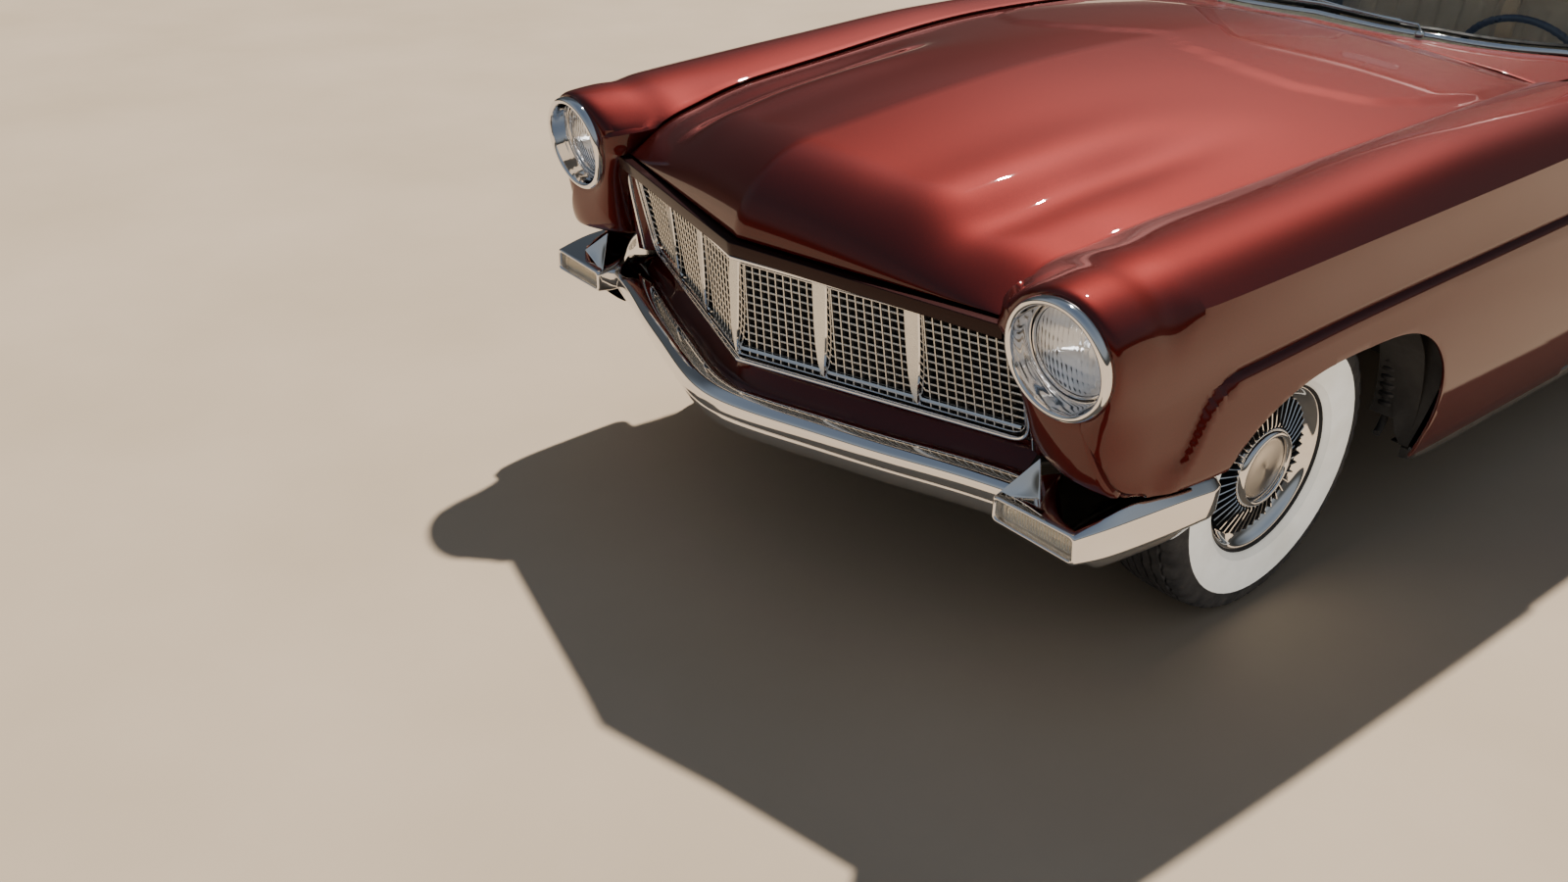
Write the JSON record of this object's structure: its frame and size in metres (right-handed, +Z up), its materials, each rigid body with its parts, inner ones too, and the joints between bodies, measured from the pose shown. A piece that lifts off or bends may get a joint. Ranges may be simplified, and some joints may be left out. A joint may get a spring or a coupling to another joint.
{
  "type": "two-door hardtop luxury coupe",
  "caption": "Long low hardtop coupe with a domed hood, egg-crate grille, wraparound bumpers, kicked-up rear fenders and a spare-wheel stamping in the luggage lid.",
  "frame": {"origin": "on the ground under the middle of the car's box", "axes": "+Z up, -Y towards the nose, +X towards the car's left side"},
  "size_m": [1.968, 5.55, 1.4249],
  "materials": {
    "body_paint": "metallic maroon lacquer under clear gloss",
    "clear_glass": "clear safety glass with a faint green cast",
    "underbody": "dark underseal",
    "chassis_black": "satin black enamel",
    "cast_parts": "raw casting",
    "engine_iron": "dark enamelled castings",
    "exhaust_steel": "aluminised steel",
    "bright_chrome": "mirror chrome",
    "lamp_glass": "fluted clear glass",
    "red_lens": "red lens",
    "wheel_cover": "polished cover",
    "tyre": "black tread with a white sidewall band",
    "wheel_blue": "dark blue moulded rim",
    "dash_cream": "cream enamel",
    "seat_leather": "cream leather with sewn channels"
  },
  "bodies": {
    "car_body": {"front_fender_left": "body_paint", "front_fender_right": "body_paint", "quarter_panel_left": "body_paint", "quarter_panel_right": "body_paint", "roof": "body_paint", "cowl": "body_paint", "deck_panel": "body_paint", "tail_panel": "body_paint", "rockers": "body_paint", "nose_panel": "body_paint", "windshield": "clear_glass", "rear_window": "clear_glass", "quarter_glass": "clear_glass", "floor_pan": "underbody", "wheelhouses": "underbody", "door_posts": "underbody", "frame_rails": "chassis_black", "front_suspension": "chassis_black", "rear_axle": "chassis_black", "driveshaft": "chassis_black", "fuel_tank": "chassis_black", "engine": "engine_iron", "radiator": "chassis_black", "exhaust": "exhaust_steel", "front_bumper": "bright_chrome", "rear_bumper": "bright_chrome", "grille_frame": "bright_chrome", "grille": "bright_chrome", "front_valance": "chassis_black", "headlamps": "lamp_glass", "parking_lamps": "lamp_glass", "tail_lamps": "red_lens", "steering_column": "wheel_blue", "dashboard": "dash_cream", "front_seat": "seat_leather", "rear_seat": "seat_leather"},
    "hood": {"hood": "body_paint"},
    "luggage_lid": {"luggage_lid": "body_paint"},
    "door_left": {"door_left": "body_paint", "door_glass_left": "clear_glass"},
    "door_right": {"door_right": "body_paint", "door_glass_right": "clear_glass"},
    "knuckle_left": {"front_knuckle_left": "cast_parts"},
    "knuckle_right": {"front_knuckle_right": "cast_parts"},
    "steering_wheel": {"steering_wheel": "wheel_blue"},
    "wheel_front_left": {"front_wheel_left": "wheel_cover", "front_tyre_left": "tyre"},
    "wheel_front_right": {"front_wheel_right": "wheel_cover", "front_tyre_right": "tyre"},
    "wheel_rear_left": {"rear_wheel_left": "wheel_cover", "rear_tyre_left": "tyre"},
    "wheel_rear_right": {"rear_wheel_right": "wheel_cover", "rear_tyre_right": "tyre"}
  },
  "joints": [
    {"name": "left_steer", "type": "hinge", "parent": "car_body", "child": "knuckle_left", "pos_m": [0.64, -1.84, 0.35], "axis": [0, 0, 1], "range_deg": [-30, 30]},
    {"name": "right_steer", "type": "hinge", "parent": "car_body", "child": "knuckle_right", "pos_m": [-0.64, -1.84, 0.35], "axis": [0, 0, 1], "range_deg": [-30, 30]},
    {"name": "steering_wheel_turn", "type": "hinge", "parent": "car_body", "child": "steering_wheel", "pos_m": [0.37, -0.05, 0.85], "axis": [0, 0.911, 0.4125], "range_deg": [-600, 600]},
    {"name": "front_left_spin", "type": "hinge", "parent": "knuckle_left", "child": "wheel_front_left", "pos_m": [0.743, -1.84, 0.35], "axis": [1, 0, 0], "continuous": true},
    {"name": "front_right_spin", "type": "hinge", "parent": "knuckle_right", "child": "wheel_front_right", "pos_m": [-0.743, -1.84, 0.35], "axis": [1, 0, 0], "continuous": true},
    {"name": "rear_left_spin", "type": "hinge", "parent": "car_body", "child": "wheel_rear_left", "pos_m": [0.762, 1.36, 0.35], "axis": [1, 0, 0], "continuous": true},
    {"name": "rear_right_spin", "type": "hinge", "parent": "car_body", "child": "wheel_rear_right", "pos_m": [-0.762, 1.36, 0.35], "axis": [1, 0, 0], "continuous": true},
    {"name": "left_door_hinge", "type": "hinge", "parent": "car_body", "child": "door_left", "pos_m": [0.975, -0.722, 0.6], "axis": [0, 0, -1], "range_deg": [0, 65]},
    {"name": "right_door_hinge", "type": "hinge", "parent": "car_body", "child": "door_right", "pos_m": [-0.975, -0.722, 0.6], "axis": [0, 0, 1], "range_deg": [0, 65]},
    {"name": "hood_hinge", "type": "hinge", "parent": "car_body", "child": "hood", "pos_m": [0, -0.709, 1.056], "axis": [-1, 0, 0], "range_deg": [0, 45]},
    {"name": "lid_hinge", "type": "hinge", "parent": "car_body", "child": "luggage_lid", "pos_m": [0, 1.647, 1.052], "axis": [1, 0, 0], "range_deg": [0, 60]}
  ],
  "couplings": [
    {"joint": "right_steer", "follows": "left_steer", "ratio": 1},
    {"joint": "steering_wheel_turn", "follows": "left_steer", "ratio": 20}
  ]
}
